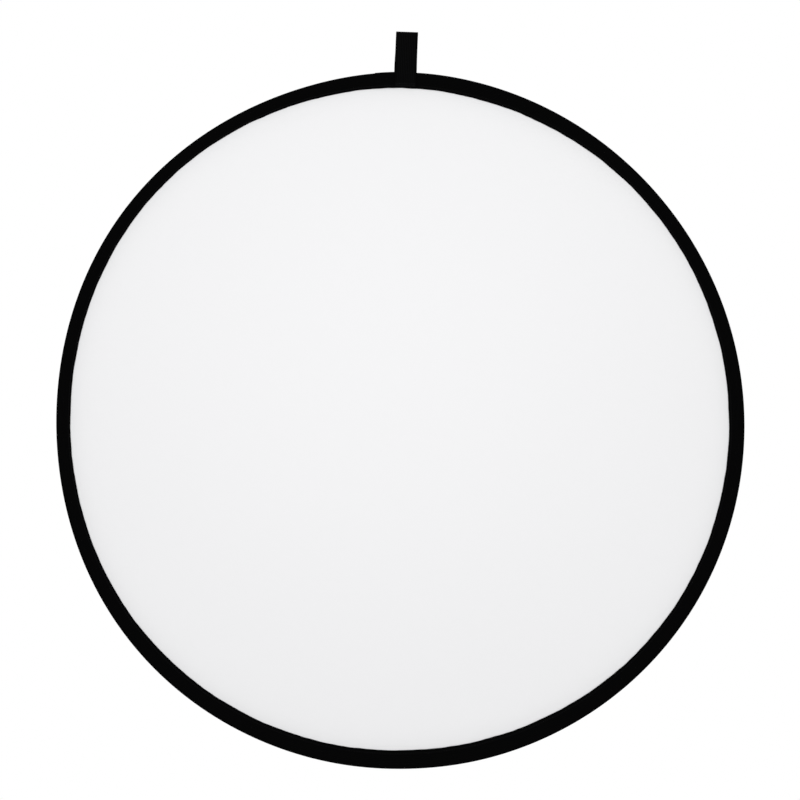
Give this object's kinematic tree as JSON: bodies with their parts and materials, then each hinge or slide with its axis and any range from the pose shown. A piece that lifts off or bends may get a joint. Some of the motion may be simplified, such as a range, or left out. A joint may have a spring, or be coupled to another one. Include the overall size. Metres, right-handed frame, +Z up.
{
  "type": "collapsible reflector disc",
  "caption": "Collapsible round light reflector: white and silver fabric stretched in a sprung hoop with a black bound rim and a webbing loop to hang it by.",
  "frame": {"origin": "axis of a hook's wire in the fold of the hanging loop, midway along the webbing's width", "axes": "+Z up with the disc hanging from its loop; the white front faces -Y and the silver back +Y; +X is to the right as seen from the front"},
  "size_m": [0.7998, 0.0098, 0.8515],
  "materials": {
    "white_fabric": "matte",
    "silver_fabric": "satin",
    "black_binding": "matte",
    "black_webbing": "matte",
    "black_thread": "satin",
    "spring_steel": "satin",
    "ferrule_steel": "satin",
    "wrap_tape": "matte"
  },
  "bodies": {
    "loop": {"hang_loop": "black_webbing"},
    "centre": {"front_panel_centre": "white_fabric", "back_panel_centre": "silver_fabric", "rim_binding_centre": "black_binding", "spring_band_centre": "spring_steel", "rim_needle_thread_centre": "black_thread", "rim_bobbin_thread_centre": "black_thread", "ferrule": "ferrule_steel", "ferrule_wrap": "wrap_tape", "hang_loop_sewn_ends": "black_webbing", "loop_needle_thread": "black_thread", "loop_bobbin_thread": "black_thread"},
    "outer_left": {"front_panel_outer_left": "white_fabric", "back_panel_outer_left": "silver_fabric", "rim_binding_outer_left": "black_binding", "spring_band_outer_left": "spring_steel", "rim_needle_thread_outer_left": "black_thread", "rim_bobbin_thread_outer_left": "black_thread"},
    "inner_left": {"front_panel_inner_left": "white_fabric", "back_panel_inner_left": "silver_fabric", "rim_binding_inner_left": "black_binding", "spring_band_inner_left": "spring_steel", "rim_needle_thread_inner_left": "black_thread", "rim_bobbin_thread_inner_left": "black_thread"},
    "inner_right": {"front_panel_inner_right": "white_fabric", "back_panel_inner_right": "silver_fabric", "rim_binding_inner_right": "black_binding", "spring_band_inner_right": "spring_steel", "rim_needle_thread_inner_right": "black_thread", "rim_bobbin_thread_inner_right": "black_thread"},
    "outer_right": {"front_panel_outer_right": "white_fabric", "back_panel_outer_right": "silver_fabric", "rim_binding_outer_right": "black_binding", "spring_band_outer_right": "spring_steel", "rim_needle_thread_outer_right": "black_thread", "rim_bobbin_thread_outer_right": "black_thread"}
  },
  "joints": [
    {"name": "loop_swing", "type": "hinge", "parent": "loop", "child": "centre", "pos_m": [0, 0, -0.0336], "axis": [1, 0, 0], "range_deg": [-80, 80]},
    {"name": "fold_inner_right", "type": "hinge", "parent": "centre", "child": "inner_right", "pos_m": [0.067, 0, -0.4476], "axis": [0, 0, -1], "range_deg": [-45, 45], "stiffness_Nm_per_rad": 3},
    {"name": "fold_outer_right", "type": "hinge", "parent": "inner_right", "child": "outer_right", "pos_m": [0.217, 0, -0.4476], "axis": [0, 0, -1], "range_deg": [-45, 45], "stiffness_Nm_per_rad": 3},
    {"name": "fold_inner_left", "type": "hinge", "parent": "centre", "child": "inner_left", "pos_m": [-0.083, 0, -0.4476], "axis": [0, 0, 1], "range_deg": [-45, 45], "stiffness_Nm_per_rad": 3},
    {"name": "fold_outer_left", "type": "hinge", "parent": "inner_left", "child": "outer_left", "pos_m": [-0.233, 0, -0.4476], "axis": [0, 0, 1], "range_deg": [-45, 45], "stiffness_Nm_per_rad": 3}
  ],
  "couplings": [
    {"joint": "fold_outer_right", "follows": "fold_inner_right", "ratio": 1},
    {"joint": "fold_inner_left", "follows": "fold_inner_right", "ratio": 1},
    {"joint": "fold_outer_left", "follows": "fold_inner_right", "ratio": 1}
  ]
}
